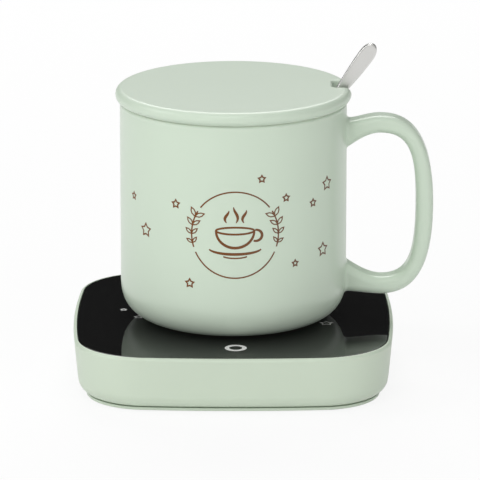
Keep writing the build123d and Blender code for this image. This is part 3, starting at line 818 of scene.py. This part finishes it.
@dataclass(frozen=True)
class Teacup:
    """A cup on its saucer with three wisps of steam.

    Sizes are in millimetres and angles in degrees. Each wisp has its place across and its
    height, and bends by an angle in radians.
    """

    fine_line: float = 0.54
    bold_line: float = 1.05
    rim_line_share: float = 0.7
    rim_height: float = 1.6
    rim_radii: Point = (7.0, 1.3)
    belly_depth: float = 6.4
    belly_sweep: Span = (180, 360)
    belly_taper: float = 0.25
    handle_place: Point = (7.6, -0.2)
    handle_radii: Point = (2.3, 2.1)
    handle_sweep: Span = (96, -112)
    handle_taper: float = 0.3
    saucer_height: float = -5.2
    saucer_radii: Point = (9.6, 2.0)
    saucer_sweep: Span = (188, 352)
    saucer_taper: float = 0.5
    foot_height: float = -7.7
    foot_radii: Point = (4.6, 1.0)
    foot_sweep: Span = (200, 340)
    wisps: tuple[Point, ...] = ((-3.0, 4.6), (0.2, 6.0), (3.4, 4.8))
    wisp_foot: float = 4.6
    wisp_sway: float = 0.75
    wisp_bend: float = 4.6
    wisp_steps: int = 20
    wisp_taper: float = 0.75

    def strokes(self) -> list[Stroke]:
        """Draws cup, handle, saucer and steam.

        Returns:
            Their lines, around (0, 0).
        """
        middle = (0.0, self.rim_height)
        belly_radii = (self.rim_radii[0], self.belly_depth)
        rim = loop(middle, self.rim_radii, steps=60)
        belly = arc(middle, belly_radii, self.belly_sweep, steps=44)
        handle = arc(self.handle_place, self.handle_radii, self.handle_sweep, steps=26)
        saucer = arc((0.0, self.saucer_height), self.saucer_radii, self.saucer_sweep, steps=40)
        foot = arc((0.0, self.foot_height), self.foot_radii, self.foot_sweep, steps=20)
        return [
            Stroke(rim, self.bold_line * self.rim_line_share, closed=True),
            Stroke(belly, self.bold_line, taper=self.belly_taper),
            Stroke(handle, self.bold_line, taper=self.handle_taper),
            Stroke(saucer, self.bold_line, taper=self.saucer_taper),
            Stroke(foot, self.fine_line),
            *(self.wisp(across, height) for across, height in self.wisps),
        ]

    def wisp(self, across: float, height: float) -> Stroke:
        """Draws one wisp of steam.

        Args:
            across: Where it rises.
            height: How high it is.

        Returns:
            The open line, thin at both ends.
        """
        points = []
        for number in range(self.wisp_steps + 1):
            share = number / self.wisp_steps
            sway = self.wisp_sway * math.sin(self.wisp_bend * share + across)
            points.append((across + sway, self.wisp_foot + height * share))
        return Stroke(tuple(points), self.bold_line, taper=self.wisp_taper)


@dataclass(frozen=True)
class InkFilm:
    """Lays strokes of ink on a flat top or round a drum.

    base is the height that artwork point (0, 0) has. A drum's radius of 0 means flat.
    """

    base: float
    drum_radius: float = 0.0
    thickness: float = 0.03 * MM
    sink: float = 0.03 * MM

    def place(self, point: Point, lift: float) -> Vector:
        """Lays a point of the artwork on the surface.

        Args:
            point: The artwork point, in millimetres.
            lift: How far above the surface, in metres.

        Returns:
            The point in the row frame.
        """
        across, up = point[0] * MM, point[1] * MM
        if not self.drum_radius:
            return Vector((across, up, self.base + lift))
        angle = across / self.drum_radius
        reach = self.drum_radius + lift
        return Vector((reach * math.sin(angle), -reach * math.cos(angle), self.base + up))

    def section(self, near: Point, far: Point) -> list[Vector]:
        """Lays the section of a ribbon across its line.

        Args:
            near: Where its left edge is on the artwork.
            far: Where its right edge is.

        Returns:
            Its four corners, in order round the section.
        """
        below, above = -self.sink, self.thickness
        corners = ((near, below), (far, below), (far, above), (near, above))
        return [self.place(point, lift) for point, lift in corners]

    def piece(self, name: str, strokes: list[Stroke]) -> bpy.types.Object:
        """Builds the film as closed ribbons.

        Args:
            name: The piece's name.
            strokes: The lines to print.

        Returns:
            The new object.
        """
        points, faces = [], []
        for stroke in strokes:
            rings = []
            for near, far in zip(*stroke.sides()):
                section = self.section(near, far)
                rings.append(range(len(points), len(points) + len(section)))
                points += section
            if stroke.closed:
                pairs = zip(rings, rings[1:] + rings[:1])
            else:
                pairs = zip(rings, rings[1:])
                faces += [tuple(reversed(rings[0])), tuple(rings[-1])]
            for here, there in pairs:
                for edge in range(len(here)):
                    before = edge - 1
                    faces.append((here[before], here[edge], there[edge], there[before]))
        mesh = bpy.data.meshes.new(name)
        mesh.from_pydata(points, [], faces)
        mesh.update()
        piece = bpy.data.objects.new(name, mesh)
        bpy.context.scene.collection.objects.link(piece)
        return piece


# ---------------------------------------------------------------- sub-assemblies
@dataclass
class SubAssembly:
    """A group of CAD nodes that is dressed together, and the pieces added to it.

    Its nodes take the finishes of their material slots, or the group's own finish.
    """

    body: str = "warmer"
    nodes: tuple[str, ...] = ()
    own_finish: Finish | None = None

    def dress(self) -> None:
        """Gives every node of the group its finish."""
        for name in self.nodes:
            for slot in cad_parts[name].material_slots:
                finish = self.own_finish or BY_SLOT[slot.material.name]
                slot.material = finish.build()
                LOG.info("%s: %s", name, finish.name)

    def add_print(self, name: str, film: InkFilm, strokes: list[Stroke], ink: Finish) -> None:
        """Prints artwork that rides on the group's body.

        Args:
            name: The new piece's name.
            film: How the ink lies.
            strokes: The lines to print.
            ink: The ink's finish.
        """
        printed = film.piece(name, strokes)
        printed.data.materials.append(ink.build())
        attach(printed, self.body)
        LOG.info("%s: %s, %d lines", name, ink.name, len(strokes))

    def add_pieces(self) -> None:
        """Adds the group's own pieces, where it has any."""

    def build(self) -> None:
        """Dresses the nodes and adds the pieces."""
        self.dress()
        self.add_pieces()


@dataclass
class Housing(SubAssembly):
    """Shell, base plate, foot pad and the screws between them."""

    nodes: tuple[str, ...] = ("housing", "bottom_cover", "foot_pad", "cover_screws")


@dataclass
class GlassTop(SubAssembly):
    """The glass plate, its adhesive, and the white print: a touch ring and a few stars.

    Sizes are in millimetres. Artwork (0, 0) is at the middle of the glass.
    """

    nodes: tuple[str, ...] = ("top_glass", "glass_adhesive")
    ring_place: Point = (1.0, -44.6)
    ring_radii: Point = (3.2, 3.2)
    ring_line: float = 1.6
    ink_thickness: float = 0.02
    stars: StarField = StarField(
        places=((-41.2, 5.8, 1.2), (-35.4, -4.0, 1.7), (34.6, -12.2, 2.4)),
        line=0.38,
    )

    def add_pieces(self) -> None:
        """Prints the ring and the stars on the glass."""
        ring = Stroke(loop(self.ring_place, self.ring_radii, steps=72), self.ring_line, closed=True)
        film = InkFilm(base=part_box("top_glass")[1].z, thickness=self.ink_thickness * MM)
        self.add_print("glass_print", film, [ring, *self.stars.strokes()], WHITE_INK)


@dataclass
class HeatingStack(SubAssembly):
    """Everything between the glass and the clamp plate, with its sensor and fuse."""

    nodes: tuple[str, ...] = (
        "heat_spreader", "heater_element", "insulation_pad", "clamp_plate", "clamp_screws",
        "thermistor", "sensor_leads", "heater_leads", "thermal_fuse", "fuse_strap",
    )


@dataclass
class Electronics(SubAssembly):
    """The control board, the touch key under the glass, and the power inlet."""

    nodes: tuple[str, ...] = (
        "control_board", "microcontroller", "power_transistor", "supply_capacitor",
        "board_screws", "light_guide", "touch_spring", "indicator_leds",
        "dc_jack", "jack_pin", "jack_contact",
    )


@dataclass
class Mug(SubAssembly):
    """The glazed mug and the copper print round its front.

    Sizes are in millimetres. Artwork (0, 0) is at the front, at the height of the foot.
    """

    body: str = "mug"
    nodes: tuple[str, ...] = ("mug",)
    own_finish: Finish = MUG_GLAZE
    radius: float = 42.0
    medallion_place: Point = (0.8, 41.9)
    wreath: Wreath = Wreath()
    teacup: Teacup = Teacup()
    stars: StarField = StarField(
        places=(
            (-43.9, 51.4, 1.35), (-21.8, 52.3, 1.5), (-36.3, 40.0, 2.5), (10.6, 62.7, 1.3),
            (20.1, 54.8, 1.3), (40.2, 56.9, 2.5), (32.3, 51.1, 1.4), (37.8, 32.4, 2.5),
            (24.0, 29.6, 1.2), (-16.2, 23.0, 1.6),
        ),
        line=0.56,
    )

    def add_pieces(self) -> None:
        """Prints the medallion and the stars round the mug, whose handle is at +X."""
        medallion = self.wreath.strokes() + self.teacup.strokes()
        strokes = [line.moved(*self.medallion_place) for line in medallion]
        film = InkFilm(base=MUG_FOOT, drum_radius=self.radius * MM)
        self.add_print("mug_print", film, strokes + self.stars.strokes(), COPPER_INK)


@dataclass
class Lid(SubAssembly):
    """The glazed lid."""

    body: str = "lid"
    nodes: tuple[str, ...] = ("lid",)
    own_finish: Finish = LID_GLAZE


@dataclass
class Spoon(SubAssembly):
    """The satin spoon."""

    body: str = "spoon"
    nodes: tuple[str, ...] = ("spoon",)


# ---------------------------------------------------------------- studio
@dataclass(frozen=True)
class SoftBox:
    """A square lamp that points at the set, with its power in watts.

    in_gloss is off for a low lamp, which would only glare in the glass.
    """

    name: str
    place: Triple
    side: float
    power: float
    in_gloss: bool = True

    def hang(self, aim: Vector) -> None:
        """Puts the lamp in the scene.

        Args:
            aim: Where it points.
        """
        data = bpy.data.lights.new(self.name, "AREA")
        data.shape = "SQUARE"
        data.size = self.side
        data.energy = self.power
        lamp = bpy.data.objects.new(self.name, data)
        lamp.location = self.place
        lamp.visible_glossy = self.in_gloss
        lamp.rotation_mode = "QUATERNION"
        lamp.rotation_quaternion = (aim - lamp.location).to_track_quat("-Z", "Y")
        bpy.context.scene.collection.objects.link(lamp)
        LOG.info("%s: %.1f W", self.name, self.power)


@dataclass
class Studio:
    """Pale floor, soft light and the camera.

    The camera's angles are in degrees, and its lens and sensor in millimetres. The sky's
    strength climbs from sky_dim to sky_bright as the direction turns towards its tilted axis.
    """

    aim: Triple = (0.00245, 0.0, 0.0500)
    azimuth: float = 0.15
    elevation: float = 15.27
    distance: float = 1.8
    lens: float = 362.3
    sensor: float = 36.0
    floor_side: float = 40.0
    floor_colour: Colour = (0.90, 0.90, 0.90)
    floor_glow: float = 0.88
    lamps: tuple[SoftBox, ...] = (
        SoftBox("left_light", (-1.5, -0.1, 1.05), side=0.8, power=7.6),
        SoftBox("low_left_light", (-0.8, -1.1, 0.16), side=0.6, power=4.1, in_gloss=False),
        SoftBox("low_right_light", (0.8, -1.1, 0.16), side=0.6, power=3.1, in_gloss=False),
        SoftBox("lid_light", (-0.1, -0.5, 0.8), side=0.4, power=1.3),
        SoftBox("back_light", (0.0, 1.2, 1.2), side=1.0, power=13.5),
    )
    sky_axis: Triple = (0.0, -0.78, 0.625)
    sky_dim: float = 0.03
    sky_bright: float = 0.74
    sky_climb: Span = (0.0, 0.60)

    def floor_paint(self) -> bpy.types.Material:
        """Makes paint that glows white to the camera and in gloss, and still takes shadows.

        Returns:
            The floor's material.
        """
        material = bpy.data.materials.new("pale_floor")
        material.use_nodes = True
        sheet = NodeSheet(material.node_tree)
        paint = sheet.add("ShaderNodeBsdfDiffuse", {"Color": self.floor_colour}).outputs[0]
        glow = sheet.add("ShaderNodeEmission", {"Color": WHITE, "Strength": 1.0}).outputs[0]
        path = sheet.add("ShaderNodeLightPath").outputs
        seen = sheet.combine("MAXIMUM", path["Is Camera Ray"], path["Is Glossy Ray"])
        seen = sheet.combine("MAXIMUM", seen, path["Is Transmission Ray"])
        share = sheet.combine("MULTIPLY", seen, self.floor_glow)
        blend = sheet.add("ShaderNodeMixShader", {0: share, 1: paint, 2: glow})
        sheet.add("ShaderNodeOutputMaterial", {"Surface": blend.outputs[0]})
        return material

    def floor(self) -> None:
        """Lays the floor."""
        half = self.floor_side / 2
        corners = [(-half, -half, 0), (half, -half, 0), (half, half, 0), (-half, half, 0)]
        mesh = bpy.data.meshes.new("floor")
        mesh.from_pydata(corners, [], [(0, 1, 2, 3)])
        mesh.materials.append(self.floor_paint())
        plane = bpy.data.objects.new("floor", mesh)
        bpy.context.scene.collection.objects.link(plane)
        plane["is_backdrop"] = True

    def sky(self) -> None:
        """Makes a dome of light, bright round its tilted axis and dim low down at the back."""
        world = bpy.data.worlds.new("studio_dome")
        bpy.context.scene.world = world
        world.use_nodes = True
        sheet = NodeSheet(world.node_tree)
        direction = sheet.add("ShaderNodeTexCoord").outputs["Generated"]
        facing = sheet.add(
            "ShaderNodeVectorMath", {0: direction, 1: self.sky_axis}, operation="DOT_PRODUCT"
        )
        start, end = self.sky_climb
        climb = sheet.add(
            "ShaderNodeMapRange",
            {
                "Value": facing.outputs["Value"],
                "From Min": start,
                "From Max": end,
                "To Min": self.sky_dim,
                "To Max": self.sky_bright,
            },
            interpolation_type="SMOOTHSTEP",
        )
        light = sheet.add("ShaderNodeBackground", {"Strength": climb.outputs[0]})
        sheet.add("ShaderNodeOutputWorld", {"Surface": light.outputs[0]})

    def camera(self) -> None:
        """Sets up the camera, a long lens that looks down a little."""
        turn, rise = math.radians(self.azimuth), math.radians(self.elevation)
        back = Vector(
            (math.sin(turn) * math.cos(rise), -math.cos(turn) * math.cos(rise), math.sin(rise))
        )
        data = bpy.data.cameras.new("camera")
        data.lens = self.lens
        data.sensor_width = self.sensor
        camera = bpy.data.objects.new("camera", data)
        camera.location = Vector(self.aim) + back * self.distance
        camera.rotation_mode = "QUATERNION"
        camera.rotation_quaternion = (-back).to_track_quat("-Z", "Y")
        bpy.context.scene.collection.objects.link(camera)
        bpy.context.scene.camera = camera

    def build(self) -> None:
        """Sets up the whole studio."""
        bpy.context.scene.view_settings.view_transform = "Standard"
        self.floor()
        self.sky()
        self.camera()
        for box in self.lamps:
            box.hang(Vector(self.aim))


@dataclass
class Report:
    """Keeps the box of the CAD model."""

    cad: list[list[float]] = field(default_factory=lambda: [list(c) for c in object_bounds()])

    def write(self) -> None:
        """Updates the view layer."""
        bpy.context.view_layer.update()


def main() -> None:
    """Builds the set, sub-assembly by sub-assembly."""
    logging.basicConfig(level=logging.INFO, format="%(name)s %(message)s")
    report = Report()
    for group in (Housing(), GlassTop(), HeatingStack(), Electronics(), Mug(), Lid(), Spoon()):
        group.build()
    Studio().build()
    report.write()


if __name__ == "__main__":
    main()
